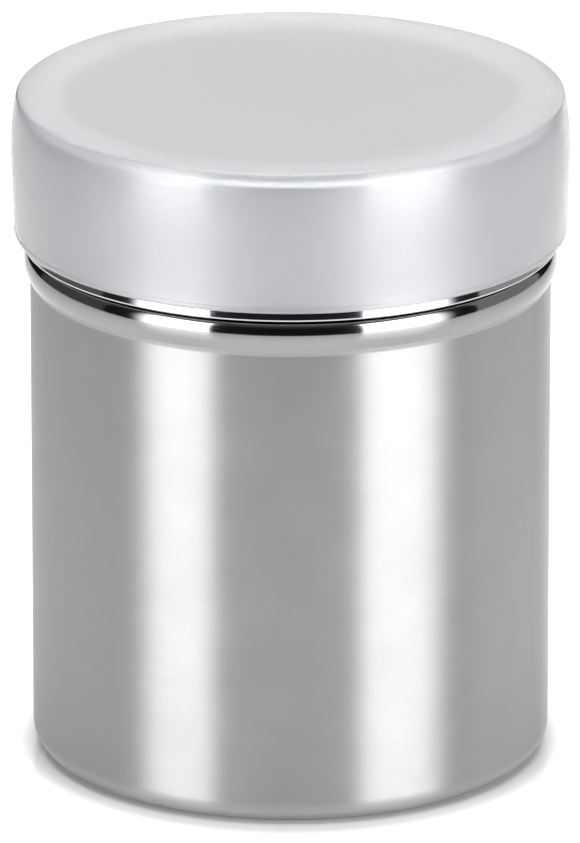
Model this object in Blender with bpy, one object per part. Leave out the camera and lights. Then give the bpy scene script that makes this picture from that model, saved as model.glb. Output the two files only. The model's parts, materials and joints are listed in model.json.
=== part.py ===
"""Powder shaker: a drawn steel canister, a screw-on sieve lid and a push-on dust cap.

Lengths are in metres. The canister stands on the XY plane with its axis on Z, and every
piece is turned about that axis. The lid screws up and off a right-hand thread, and the
cap pulls straight up off the lid.
"""

import math

import bmesh
import bpy

# Canister: a cup drawn from one sheet, with a rolled bead under its neck
CANISTER_RADIUS = 0.0340
CANISTER_SHEET = 0.0006
BASE_CORNER_RADIUS = 0.0030
BEAD_FOOT_HEIGHT = 0.0642
BEAD_LOWER_RISE = 0.0026
BEAD_UPPER_RISE = 0.0020
BEAD_STANDOUT = 0.0008

# Neck: stands inside the bead's top and carries the thread
NECK_INSET = 0.0008
NECK_HEIGHT = 0.0100

# Thread: the same ridge on the neck and inside the lid
THREAD_PITCH = 0.0040
THREAD_HEIGHT = 0.0007
THREAD_HALF_WIDTH = 0.0011
THREAD_MARGIN = 0.0018
THREAD_CLEARANCE = 0.0003
THREAD_DROP_SHARE = 0.4
LID_THREAD_TURNS = 1.25
THREAD_FADE_TURNS = 0.08

# Lid: a pressed shell, open in the middle for the sieve
LID_SHEET = 0.0005
LID_HEADROOM = 0.0084
LID_BEND_RADIUS = 0.0012
LID_FLANGE_WIDTH = 0.0052

# Sieve and the ring that clamps it under the flange
SIEVE_THICKNESS = 0.0005
SIEVE_PITCH = 0.0044
SIEVE_WIRE_WIDTH = 0.0009
SIEVE_RIM_WIDTH = 0.0018
RING_SHEET = 0.0005
RING_BEND_RADIUS = 0.0009
RING_SKIRT_HEIGHT = 0.0045

# Dust cap: a moulded cup that hides all of the lid but its lowest edge
CAP_WALL = 0.0010
CAP_TOP_THICKNESS = 0.0013
CAP_INNER_CORNER_RADIUS = 0.0007
CAP_SWELL = 0.00035
CAP_SHOULDER_RISE = 0.0080
CAP_SHOULDER_INSET = 0.0008
CAP_SHOULDER_SWEEP = math.radians(65)
CAP_CLEARANCE = 0.00035
CAP_REVEAL = 0.00135

# Fits and cuts
SEAT_GAP = 0.0003
CUT_OVERRUN = 0.0010
MERGE_SHARE = 0.002

# Facets
TURN_SEGMENTS = 60
ARC_STEPS = 4
LIP_STEPS = 4
NECK_THREAD_ROWS = 17
LID_THREAD_ROWS = 15
SHARP_ANGLE = math.radians(40)

# Radii that follow from the sizes above
NECK_RADIUS = CANISTER_RADIUS - NECK_INSET
LID_BORE_RADIUS = NECK_RADIUS + THREAD_HEIGHT + THREAD_CLEARANCE
LID_RADIUS = LID_BORE_RADIUS + LID_SHEET
OPENING_RADIUS = LID_RADIUS - LID_FLANGE_WIDTH
SIEVE_RADIUS = LID_BORE_RADIUS - SEAT_GAP
CAP_MOUTH_RADIUS = LID_RADIUS + CAP_CLEARANCE

# Heights that follow from the sizes above
BEAD_CREST_Z = BEAD_FOOT_HEIGHT + BEAD_LOWER_RISE
NECK_FOOT_Z = BEAD_CREST_Z + BEAD_UPPER_RISE
NECK_TOP_Z = NECK_FOOT_Z + NECK_HEIGHT
LID_HEIGHT = NECK_HEIGHT + LID_HEADROOM
LID_BOTTOM_Z = NECK_FOOT_Z + SEAT_GAP
SIEVE_Z = LID_HEIGHT - LID_SHEET - SEAT_GAP - SIEVE_THICKNESS
RING_Z = SIEVE_Z - SEAT_GAP - RING_SKIRT_HEIGHT
CAP_HEIGHT = LID_HEIGHT - CAP_REVEAL + SEAT_GAP + CAP_TOP_THICKNESS

# Thread values that follow from the sizes above
NECK_THREAD_TURNS = (NECK_HEIGHT - THREAD_MARGIN - THREAD_MARGIN) / THREAD_PITCH
THREAD_DROP = THREAD_PITCH * THREAD_DROP_SHARE
LID_THREAD_LEAD = (SEAT_GAP + THREAD_DROP) / THREAD_PITCH

FULL_TURN = 2 * math.pi
QUARTER_TURN = math.pi / 2
HALF_TURN = math.pi


def clear_scene():
    """Remove every object, so that the script can be run again."""
    for item in list(bpy.data.objects):
        bpy.data.objects.remove(item, do_unlink=True)


def make_material(name, color, metallic, roughness, transmission=0.0):
    """A plain shader for one sub-part."""
    material = bpy.data.materials.new(name)
    material.use_nodes = True
    shader = material.node_tree.nodes["Principled BSDF"]
    shader.inputs["Base Color"].default_value = (*color, 1.0)
    shader.inputs["Metallic"].default_value = metallic
    shader.inputs["Roughness"].default_value = roughness
    shader.inputs["Transmission Weight"].default_value = transmission
    return material


def arc(centre_r, centre_z, across, up, start, end, steps):
    """Points of an elliptical arc in the turned profile, both ends included."""
    points = []
    for step in range(steps + 1):
        angle = start + (end - start) * step / steps
        points.append((centre_r + across * math.cos(angle), centre_z + up * math.sin(angle)))
    return points


def column(radius, low, high, rows):
    """Evenly spaced points up a straight wall, both ends included."""
    return [(radius, low + (high - low) * row / rows) for row in range(rows + 1)]


def thread_share(theta, height, foot, lead, turns):
    """How far the ridge stands at one place of a wall: 0 off the ridge, 1 on its crest.

    The ridge climbs one pitch for each turn about +Z. It starts at the angle that lead
    gives, in turns, at the height foot, and it runs out softly at both ends.
    """
    share = 0.0
    first = math.floor(lead)
    for turn in range(first, math.ceil(lead + turns) + 1):
        along = theta / FULL_TURN + turn - lead
        if along < 0 or along > turns:
            continue
        offset = height - foot - THREAD_PITCH * along
        if abs(offset) >= THREAD_HALF_WIDTH:
            continue
        fade = min(1.0, along / THREAD_FADE_TURNS, (turns - along) / THREAD_FADE_TURNS)
        crest = math.cos(QUARTER_TURN * offset / THREAD_HALF_WIDTH) ** 2
        share = max(share, fade * crest)
    return share


def turn_profile(name, outline, closed, material, wall=None, swell=None):
    """Spin a profile of (radius, height) points about Z into one closed solid.

    An open outline starts and ends on the axis. Points that lie on the radius given as
    wall move outwards by swell(theta, height).
    """
    body = bmesh.new()
    points = [body.verts.new((radius, 0.0, height)) for radius, height in outline]
    edges = [body.edges.new(pair) for pair in zip(points, points[1:])]
    if closed:
        edges.append(body.edges.new((points[-1], points[0])))
    bmesh.ops.spin(
        body,
        geom=points + edges,
        cent=(0, 0, 0),
        axis=(0, 0, 1),
        angle=FULL_TURN,
        steps=TURN_SEGMENTS,
        use_merge=True,
    )
    bmesh.ops.remove_doubles(body, verts=body.verts, dist=CANISTER_SHEET * MERGE_SHARE)
    if swell:
        for vert in body.verts:
            radius = math.hypot(vert.co.x, vert.co.y)
            if math.isclose(radius, wall, rel_tol=CANISTER_SHEET / CANISTER_RADIUS * MERGE_SHARE):
                theta = math.atan2(vert.co.y, vert.co.x) % FULL_TURN
                grown = 1 + swell(theta, vert.co.z) / radius
                vert.co.x *= grown
                vert.co.y *= grown
    bmesh.ops.recalc_face_normals(body, faces=body.faces)
    return finish_object(name, body, material)


def finish_object(name, body, material):
    """Turn a bmesh into a linked object with one material and smooth round faces."""
    mesh = bpy.data.meshes.new(name)
    body.to_mesh(mesh)
    body.free()
    mesh.shade_smooth()
    mesh.set_sharp_from_angle(angle=SHARP_ANGLE)
    mesh.materials.append(material)
    item = bpy.data.objects.new(name, mesh)
    bpy.context.scene.collection.objects.link(item)
    return item


def neck_swell(theta, height):
    """The neck's thread stands outwards."""
    foot = NECK_FOOT_Z + THREAD_MARGIN
    return THREAD_HEIGHT * thread_share(theta, height, foot, 0, NECK_THREAD_TURNS)


def lid_swell(theta, height):
    """The lid's thread stands inwards, just under the neck's."""
    share = thread_share(theta, height, THREAD_MARGIN, LID_THREAD_LEAD, LID_THREAD_TURNS)
    return -THREAD_HEIGHT * share


def bead_profile(offset):
    """The rolled bead from its foot to the neck's shoulder, moved inwards by offset."""
    radius = CANISTER_RADIUS - offset
    lower = []
    for step in range(ARC_STEPS + 1):
        angle = QUARTER_TURN * step / ARC_STEPS
        height = BEAD_FOOT_HEIGHT + BEAD_LOWER_RISE * step / ARC_STEPS
        lower.append((radius + BEAD_STANDOUT * math.sin(angle), height))
    upper = arc(
        radius, BEAD_CREST_Z, BEAD_STANDOUT, BEAD_UPPER_RISE - offset, 0, QUARTER_TURN, ARC_STEPS
    )
    return lower + upper[1:]


def make_canister():
    """The drawn cup with its flat base, bead, shoulder and threaded neck."""
    material = make_material("satin_stainless", (0.56, 0.55, 0.54), 1.0, 0.3)
    corner = CANISTER_RADIUS - BASE_CORNER_RADIUS
    inner_corner_radius = BASE_CORNER_RADIUS - CANISTER_SHEET
    rim_radius = CANISTER_SHEET / 2
    rim_z = NECK_TOP_Z - rim_radius
    rim_centre = NECK_RADIUS - rim_radius
    outline = [(0.0, 0.0)]
    outline += arc(
        corner, BASE_CORNER_RADIUS, BASE_CORNER_RADIUS, BASE_CORNER_RADIUS, -QUARTER_TURN, 0, ARC_STEPS
    )
    outline += bead_profile(0)
    outline += column(NECK_RADIUS, NECK_FOOT_Z, rim_z, NECK_THREAD_ROWS)
    outline += arc(rim_centre, rim_z, rim_radius, rim_radius, 0, HALF_TURN, LIP_STEPS)[1:]
    outline += [(NECK_RADIUS - CANISTER_SHEET, NECK_FOOT_Z - CANISTER_SHEET)]
    outline += reversed(bead_profile(CANISTER_SHEET))
    outline += arc(
        corner, BASE_CORNER_RADIUS, inner_corner_radius, inner_corner_radius, 0, -QUARTER_TURN, ARC_STEPS
    )
    outline += [(0.0, CANISTER_SHEET)]
    return turn_profile("canister", outline, False, material, NECK_RADIUS, neck_swell)


def make_lid_shell():
    """The pressed shell: a rounded lip, a threaded skirt and a flange round the opening."""
    material = make_material("polished_stainless", (0.62, 0.62, 0.62), 1.0, 0.12)
    lip_radius = LID_SHEET / 2
    lip_centre = LID_RADIUS - lip_radius
    bend_centre = LID_RADIUS - LID_BEND_RADIUS
    bend_z = LID_HEIGHT - LID_BEND_RADIUS
    inner_bend_radius = LID_BEND_RADIUS - LID_SHEET
    thread_top = THREAD_MARGIN + THREAD_PITCH * LID_THREAD_TURNS + THREAD_HALF_WIDTH
    outline = arc(lip_centre, lip_radius, lip_radius, lip_radius, -HALF_TURN, 0, LIP_STEPS)
    outline += arc(bend_centre, bend_z, LID_BEND_RADIUS, LID_BEND_RADIUS, 0, QUARTER_TURN, ARC_STEPS)
    outline += [(OPENING_RADIUS, LID_HEIGHT), (OPENING_RADIUS, LID_HEIGHT - LID_SHEET)]
    outline += arc(
        bend_centre, bend_z, inner_bend_radius, inner_bend_radius, QUARTER_TURN, 0, ARC_STEPS
    )
    outline += reversed(column(LID_BORE_RADIUS, lip_radius, thread_top, LID_THREAD_ROWS)[1:])
    return turn_profile("lid_shell", outline, True, material, LID_BORE_RADIUS, lid_swell)


def make_retaining_ring():
    """The pressed ring that holds the sieve up against the flange."""
    material = make_material("pressed_stainless", (0.58, 0.58, 0.58), 1.0, 0.25)
    bend_centre = SIEVE_RADIUS - RING_BEND_RADIUS
    bend_z = RING_SKIRT_HEIGHT - RING_BEND_RADIUS
    inner_bend_radius = RING_BEND_RADIUS - RING_SHEET
    outline = [(SIEVE_RADIUS - RING_SHEET, 0.0), (SIEVE_RADIUS, 0.0)]
    outline += arc(bend_centre, bend_z, RING_BEND_RADIUS, RING_BEND_RADIUS, 0, QUARTER_TURN, ARC_STEPS)
    outline += [(OPENING_RADIUS, RING_SKIRT_HEIGHT), (OPENING_RADIUS, RING_SKIRT_HEIGHT - RING_SHEET)]
    outline += arc(
        bend_centre, bend_z, inner_bend_radius, inner_bend_radius, QUARTER_TURN, 0, ARC_STEPS
    )
    return turn_profile("mesh_retaining_ring", outline, True, material)


def make_dust_cap():
    """The moulded cap: a flat top inside a crisp crease, a long soft shoulder, and a wall
    that swells a little on its way up from the mouth.
    """
    material = make_material("frosted_plastic", (0.78, 0.79, 0.80), 0.0, 0.45, 0.3)
    mouth_outer = CAP_MOUTH_RADIUS + CAP_WALL
    widest = mouth_outer + CAP_SWELL
    widest_z = CAP_HEIGHT - CAP_SHOULDER_RISE
    lip_radius = CAP_WALL / 2
    shoulder_across = CAP_SHOULDER_INSET / (1 - math.cos(CAP_SHOULDER_SWEEP))
    shoulder_up = CAP_SHOULDER_RISE / math.sin(CAP_SHOULDER_SWEEP)
    inner_top = CAP_HEIGHT - CAP_TOP_THICKNESS
    outline = [(0.0, inner_top)]
    outline += arc(
        CAP_MOUTH_RADIUS - CAP_INNER_CORNER_RADIUS,
        inner_top - CAP_INNER_CORNER_RADIUS,
        CAP_INNER_CORNER_RADIUS,
        CAP_INNER_CORNER_RADIUS,
        QUARTER_TURN,
        0,
        ARC_STEPS,
    )
    outline += [(widest - CAP_WALL, widest_z)]
    outline += arc(
        mouth_outer - lip_radius, lip_radius, lip_radius, lip_radius, HALF_TURN, FULL_TURN, LIP_STEPS
    )
    outline += arc(
        widest - shoulder_across,
        widest_z,
        shoulder_across,
        shoulder_up,
        0,
        CAP_SHOULDER_SWEEP,
        ARC_STEPS,
    )
    outline += [(0.0, CAP_HEIGHT)]
    return turn_profile("dust_cap", outline, False, material)


def make_sieve():
    """The sieve: a round net of square gaps inside a plain rim."""
    material = make_material("sieve_wire", (0.60, 0.60, 0.60), 1.0, 0.3)
    disc = bmesh.new()
    bmesh.ops.create_cone(
        disc,
        cap_ends=True,
        segments=TURN_SEGMENTS,
        radius1=SIEVE_RADIUS,
        radius2=SIEVE_RADIUS,
        depth=SIEVE_THICKNESS,
    )
    sieve = finish_object("mesh_screen", disc, material)
    cutter = make_sieve_cutter()
    cut = sieve.modifiers.new("gaps", "BOOLEAN")
    cut.operation = "DIFFERENCE"
    cut.solver = "EXACT"
    cut.object = cutter
    return sieve, cutter


def make_sieve_cutter():
    """One square block for each gap of the net that lies whole inside the rim."""
    field_radius = SIEVE_RADIUS - SIEVE_RIM_WIDTH
    gap_width = SIEVE_PITCH - SIEVE_WIRE_WIDTH
    reach = math.ceil(field_radius / SIEVE_PITCH)
    mesh = bpy.data.meshes.new("sieve_gaps")
    blocks = bmesh.new()
    for column_index in range(-reach, reach + 1):
        for row_index in range(-reach, reach + 1):
            x = column_index * SIEVE_PITCH
            y = row_index * SIEVE_PITCH
            corner = math.hypot(abs(x) + gap_width / 2, abs(y) + gap_width / 2)
            if corner > field_radius:
                continue
            block = bmesh.ops.create_cube(blocks, size=1)["verts"]
            size = (gap_width, gap_width, SIEVE_THICKNESS + CUT_OVERRUN)
            bmesh.ops.scale(blocks, vec=size, verts=block)
            bmesh.ops.translate(blocks, vec=(x, y, 0), verts=block)
    blocks.to_mesh(mesh)
    blocks.free()
    cutter = bpy.data.objects.new("sieve_gaps", mesh)
    bpy.context.scene.collection.objects.link(cutter)
    cutter.hide_render = True
    cutter.display_type = "WIRE"
    return cutter


def make_axis(name, height):
    """An empty on the turning axis, which carries a moving group."""
    axis = bpy.data.objects.new(name, None)
    axis.location = (0, 0, height)
    bpy.context.scene.collection.objects.link(axis)
    return axis


def seat(item, axis, height):
    """Put a piece on its group's axis, at a height above that group's origin."""
    item.parent = axis
    item.location = (0, 0, height)


def build():
    """Make and place every sub-part."""
    clear_scene()
    make_canister()
    lid_axis = make_axis("lid_axis", LID_BOTTOM_Z)
    seat(make_lid_shell(), lid_axis, 0)
    sieve, cutter = make_sieve()
    seat(sieve, lid_axis, SIEVE_Z + SIEVE_THICKNESS / 2)
    seat(cutter, lid_axis, SIEVE_Z + SIEVE_THICKNESS / 2)
    seat(make_retaining_ring(), lid_axis, RING_Z)
    seat(make_dust_cap(), lid_axis, CAP_REVEAL)


build()
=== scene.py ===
"""Looks of the powder shaker: steel canister, sieve lid and frosted dust cap.

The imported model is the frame. Each of its pieces is made again here with a fine surface,
in the same place, and rides on the same body. Lengths are in metres.
"""

import json
import math

import bpy
from bpy.props import FloatProperty, FloatVectorProperty, IntProperty, PointerProperty
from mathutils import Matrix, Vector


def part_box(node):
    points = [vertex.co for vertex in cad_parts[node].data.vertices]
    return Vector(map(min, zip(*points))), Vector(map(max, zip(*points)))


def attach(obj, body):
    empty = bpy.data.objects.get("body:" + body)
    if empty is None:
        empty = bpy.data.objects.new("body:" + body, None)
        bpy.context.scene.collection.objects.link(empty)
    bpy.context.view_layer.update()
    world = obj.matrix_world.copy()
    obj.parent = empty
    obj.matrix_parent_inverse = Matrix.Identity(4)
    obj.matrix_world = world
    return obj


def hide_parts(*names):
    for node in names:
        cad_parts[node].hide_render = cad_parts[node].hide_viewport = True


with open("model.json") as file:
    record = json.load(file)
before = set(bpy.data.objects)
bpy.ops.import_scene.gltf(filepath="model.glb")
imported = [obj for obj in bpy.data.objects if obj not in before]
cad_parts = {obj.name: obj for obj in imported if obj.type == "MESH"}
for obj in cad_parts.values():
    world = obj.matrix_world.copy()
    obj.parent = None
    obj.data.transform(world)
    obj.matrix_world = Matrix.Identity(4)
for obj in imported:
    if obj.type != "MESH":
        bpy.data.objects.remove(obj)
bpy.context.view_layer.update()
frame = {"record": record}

bl_info = {
    "name": "Powder Shaker",
    "version": (1, 0, 0),
    "blender": (4, 5, 0),
    "location": "View3D > Sidebar > Shaker",
    "description": "Makes a steel powder shaker with a sieve lid and a frosted dust cap",
    "category": "Object",
}

# Places that the frame gives
CANISTER_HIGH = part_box("canister")[1]
LID_LOW, LID_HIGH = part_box("lid_shell")
SIEVE_LOW, SIEVE_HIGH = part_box("mesh_screen")
RING_LOW, RING_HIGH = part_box("mesh_retaining_ring")
CAP_LOW, CAP_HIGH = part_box("dust_cap")
RISE_PER_RADIAN = frame["record"]["behaviour"]["couplings"][0]["ratio"]

# The photograph's height in pixels, and the sensor that lies along it
PHOTO_HEIGHT = 843
SENSOR_MM = 36.0

FULL_TURN = 2 * math.pi
HALF_TURN = math.pi
QUARTER_TURN = math.pi / 2
PITCH = RISE_PER_RADIAN * FULL_TURN

# How finely the pieces are made: steps round a piece and along its arcs, the height of a row
# of faces and of the short rows beside a bend, the first ring round the axis, and how near
# two points lie that are one
SHARP_ANGLE = math.radians(35)
FINE_SEGMENTS = 288
LIP_STEPS, CORNER_STEPS, BEND_STEPS, BEAD_STEPS, SHOULDER_STEPS = 6, 8, 10, 12, 24
WALL_ROW = 0.004
CAP_ROW = 0.002
HOLD = 0.00015
HUB = 0.001
SAME_PLACE = 1e-6

# Finish zones of a turned piece's faces
ZONE_OUTSIDE, ZONE_POLISHED, ZONE_INSIDE = 0, 1, 2


def linear(hex_colour):
    """An sRGB hex colour as linear red, green and blue."""
    shares = [int(hex_colour[i : i + 2], 16) / 255 for i in (1, 3, 5)]
    return tuple(c / 12.92 if c <= 0.04045 else ((c + 0.055) / 1.055) ** 2.4 for c in shares)


def length(name, description, default):
    """A length that a user may change."""
    return FloatProperty(
        name=name, description=description, default=default, precision=5, unit="LENGTH"
    )


def share(name, description, default):
    """A value from 0 to 1 that a user may change."""
    return FloatProperty(name=name, description=description, default=default, min=0.0, max=1.0)


def angle(name, description, degrees):
    """An angle that a user may change."""
    return FloatProperty(
        name=name, description=description, default=math.radians(degrees), subtype="ANGLE"
    )


def colour(name, description, hex_colour):
    """A colour that a user may change."""
    return FloatVectorProperty(
        name=name, description=description, default=linear(hex_colour), subtype="COLOR", min=0, max=1
    )


class CanisterSizes(bpy.types.PropertyGroup):
    """Sizes of the drawn canister."""

    sheet: length("Sheet", "Thickness of the canister's sheet", 0.0006)
    base_corner: length("Base corner", "Outer radius between base and wall", 0.0030)
    bead_standout: length("Bead standout", "How far the bead stands out of the wall", 0.0008)
    bead_foot: length("Bead foot", "Height where the bead leaves the wall", 0.0642)
    bead_lower_rise: length("Bead lower rise", "From the bead's foot to its crest", 0.0026)
    bead_upper_rise: length("Bead upper rise", "From the bead's crest to the neck", 0.0020)
    polish_foot: length("Polish foot", "Height where the brushing ends and the polish starts", 0.0648)
    neck_inset: length("Neck inset", "How far the neck lies inside the wall", 0.0008)


class ThreadSizes(bpy.types.PropertyGroup):
    """Sizes of the rolled thread, alike on the neck and in the lid."""

    height: length("Ridge height", "How far the ridge stands off its wall", 0.0007)
    half_width: length("Ridge half width", "Half the ridge's width along the axis", 0.0011)
    margin: length("Margin", "From a wall's end to the middle of the ridge", 0.0018)
    row: length("Row", "Height of one row of faces on a threaded wall", 0.0002)
    lid_turns: FloatProperty(name="Lid turns", description="Turns of ridge in the lid", default=1.25)
    drop_share: share("Drop", "Pitches from the neck's ridge down to the lid's", 0.4)
    fade_turns: share("Run-out", "Turns over which the ridge runs out at each end", 0.08)


class LidSizes(bpy.types.PropertyGroup):
    """Sizes of the pressed lid and of its clamping ring."""

    sheet: length("Sheet", "Thickness of the lid's sheet", 0.0005)
    bend: length("Bend", "Outer radius between skirt and flange", 0.0012)
    flange_width: length("Flange width", "From the skirt's outside to the opening", 0.0052)
    flare: length("Flare", "How far the skirt's lowest edge stands out", 0.0003)
    flare_height: length("Flare height", "From the lip up to where the flare starts", 0.00135)
    ring_bend: length("Ring bend", "Outer radius of the clamping ring's corner", 0.0009)


class SieveSizes(bpy.types.PropertyGroup):
    """Sizes of the woven sieve."""

    pitch: length("Pitch", "From one wire to the next", 0.00095)
    wire_radius: length("Wire radius", "Radius of one wire", 0.00012)
    field_radius: length("Field radius", "Radius of the round that is cut from the cloth", 0.0315)
    points_per_pitch: IntProperty(name="Points", description="Points on a wire, per pitch", default=4)


class CapSizes(bpy.types.PropertyGroup):
    """Sizes of the moulded dust cap."""

    wall: length("Wall", "Thickness of the cap's wall", 0.0010)
    top_thickness: length("Top", "Thickness of the cap's top", 0.0013)
    inner_corner: length("Inner corner", "Radius between the wall's inside and the top", 0.0007)
    swell: length("Swell", "How much wider the cap is at its widest than at its mouth", 0.00035)
    shoulder_rise: length("Shoulder rise", "From the widest level up to the top", 0.0080)
    shoulder_inset: length("Shoulder inset", "From the widest radius in to the crease", 0.0008)
    shoulder_sweep: angle("Shoulder sweep", "How far the shoulder turns before its crease", 65)
    crease: length("Crease", "Radius between the shoulder and the top", 0.0004)
    flash_height: length("Flash height", "From the mouth up to the moulding flash", 0.00085)
    flash_radius: length("Flash radius", "Half the thickness of the moulding flash", 0.00005)
    flash_wave: length("Flash wave", "How far the flash strays up and down", 0.00009)


class FinishColours(bpy.types.PropertyGroup):
    """Colours of the steels, of the plastic and of the table."""

    satin: colour("Satin steel", "Brushed wall of the canister", "#AEADAD")
    # Painted shade: the bead's polished steel is set darker than the same steel on the lid, to dim its
    # reflections
    polished: colour("Polished bead", "Polished steel of the bead and the neck", "#9F9FA0")
    # Painted light: the lid's polished steel is set lighter, so that the cap over it shows brighter
    # bands
    lid: colour("Polished lid", "Polished steel of the lid", "#CECED0")
    drawn: colour("Drawn steel", "Inside of the canister", "#B4B3B2")
    wire: colour("Sieve wire", "Drawn wire of the sieve", "#C2C3C4")
    pressed: colour("Rolled sheet", "Clamping ring", "#BFBFBE")
    plastic: colour("Frosted plastic", "Moulded dust cap", "#F9FAFC")
    floor: colour("Floor", "Pale table under the shaker", "#EAEAEA")


class StageSizes(bpy.types.PropertyGroup):
    """Camera, lamps, grey cards, backdrop and table."""

    focal_pixels: FloatProperty(
        name="Focal length", description="In pixels of the photograph's frame", default=11560.0
    )
    distance: length("Distance", "From the aim point to the camera", 1.516)
    elevation: angle("Elevation", "Camera above the horizon", 18.96)
    aim_height: length("Aim height", "Height of the point in the picture's middle", 0.04374)
    aim_side: length("Aim side", "Place along X of the point in the picture's middle", -0.00008)
    strip_distance: length("Strip distance", "From the shaker's axis to each strip lamp", 0.9)
    strip_bottom: length("Strip bottom", "Height of each strip lamp's lower end", -0.3)
    strip_top: length("Strip top", "Height of each strip lamp's upper end", 0.6)
    left_azimuth: angle("Left azimuth", "Left strip lamp, from the camera's side", -52.2)
    left_width: length("Left width", "Width of the left strip lamp", 0.6)
    left_radiance: FloatProperty(name="Left radiance", description="Where 1 is white", default=4.6)
    right_azimuth: angle("Right azimuth", "Right strip lamp, from the camera's side", 51.8)
    right_width: length("Right width", "Width of the right strip lamp", 0.71)
    right_radiance: FloatProperty(name="Right radiance", description="Where 1 is white", default=4.8)
    card_azimuth: angle("Card azimuth", "Grey card on each side, from the camera's side", 107)
    card_width: length("Card width", "Width of each grey card", 0.75)
    left_card: share("Left card", "Radiance of the left card, where 1 is white", 0.1)
    right_card: share("Right card", "Radiance of the right card, where 1 is white", 0.36)
    strip_fade: share("Strip fade", "Share of each strip that fades towards its outer edge", 0.35)
    top_height: length("Top height", "Height of the soft box above the shaker", 1.15)
    top_forward: length("Top forward", "From the axis to the soft box, towards the camera", 0.0)
    top_width: length("Top width", "Width of the soft box", 1.1)
    top_depth: length("Top depth", "Depth of the soft box", 0.9)
    top_radiance: FloatProperty(name="Top radiance", description="Where 1 is white", default=5.3)
    fill: share("Fill", "Grey light from all round on matt surfaces", 0.08)
    dark_room: share("Dark room", "What polished steel shows of the room in front", 0.015)
    ceiling: share("Ceiling", "What polished steel shows of the room straight above", 0.25)
    light_edge: angle("Light edge", "Azimuth where the white backdrop starts, low down", 160)
    upper_edge: angle("Upper edge", "Azimuth where the white backdrop starts, high up", 116)
    room_turn: angle("Room turn", "How far the backdrop is turned towards the right", 8)
    floor_radius: length("Floor radius", "Radius of the table", 0.45)
    floor_glow: share("Floor glow", "Lifts the table to white for the camera", 0.4)
    # Painted shadow: in this round, set towards the camera, the table doesn't glow for the camera
    painted_shadow_core: length("Glow start", "Radius inside which the table doesn't glow", 0.0335)
    painted_shadow_edge: length("Glow full", "Radius from which the table glows in full", 0.037)
    painted_shadow_shift: length("Glow shift", "How far that round lies towards the camera", 0.0015)


class ShakerSettings(bpy.types.PropertyGroup):
    """All that a user may change."""

    canister: PointerProperty(type=CanisterSizes)
    thread: PointerProperty(type=ThreadSizes)
    lid: PointerProperty(type=LidSizes)
    sieve: PointerProperty(type=SieveSizes)
    cap: PointerProperty(type=CapSizes)
    colours: PointerProperty(type=FinishColours)
    stage: PointerProperty(type=StageSizes)


def connect(tree, target, inputs):
    """Fill a node's inputs, each with a value, a socket or another node's first output."""
    for key, value in inputs.items():
        if isinstance(value, bpy.types.Node):
            value = value.outputs[0]
        if isinstance(value, bpy.types.NodeSocket):
            tree.links.new(value, target.inputs[key])
        else:
            target.inputs[key].default_value = value


def node(tree, kind, inputs=None, **settings):
    """Add a node with its settings and its inputs."""
    made = tree.nodes.new(kind)
    for name, value in settings.items():
        setattr(made, name, value)
    connect(tree, made, inputs or {})
    return made


def streaks(tree, place, sizes, detail):
    """Noise that is drawn out to a size of its own along each of the piece's axes."""
    stretched = node(
        tree, "ShaderNodeMapping", {"Vector": place, "Scale": tuple(1 / size for size in sizes)}
    )
    return node(tree, "ShaderNodeTexNoise", {"Vector": stretched, "Scale": 1.0, "Detail": detail})


def marks(tree, place, spacing, core, reach, at_core, beyond):
    """Round marks about a spacing apart, with one value at their core and another past them.

    Core and reach are a mark's radii, as shares of the spacing.
    """
    cells = node(tree, "ShaderNodeTexVoronoi", {"Vector": place, "Scale": 1 / spacing}, feature="F1")
    return node(
        tree, "ShaderNodeMapRange",
        {"Value": cells, "From Min": core, "From Max": reach, "To Min": at_core, "To Max": beyond},
    )


def ray_kinds(tree):
    """Whether a ray comes from the camera, and whether from a mirror or a clear surface."""
    ray = node(tree, "ShaderNodeLightPath").outputs
    shown = node(
        tree, "ShaderNodeMath",
        {0: ray["Is Glossy Ray"], 1: ray["Is Transmission Ray"]}, operation="MAXIMUM",
    )
    return ray["Is Camera Ray"], shown


def new_material(name, base, metallic, roughness):
    """A material with its shader's plain values, and the piece's own coordinates."""
    material = bpy.data.materials.get(name) or bpy.data.materials.new(name)
    material.use_nodes = True
    tree = material.node_tree
    shader = tree.nodes["Principled BSDF"]
    connect(tree, shader, {"Base Color": (*base, 1.0), "Metallic": metallic, "Roughness": roughness})
    place = node(tree, "ShaderNodeTexCoord").outputs["Object"]
    return material, tree, shader, place


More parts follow.
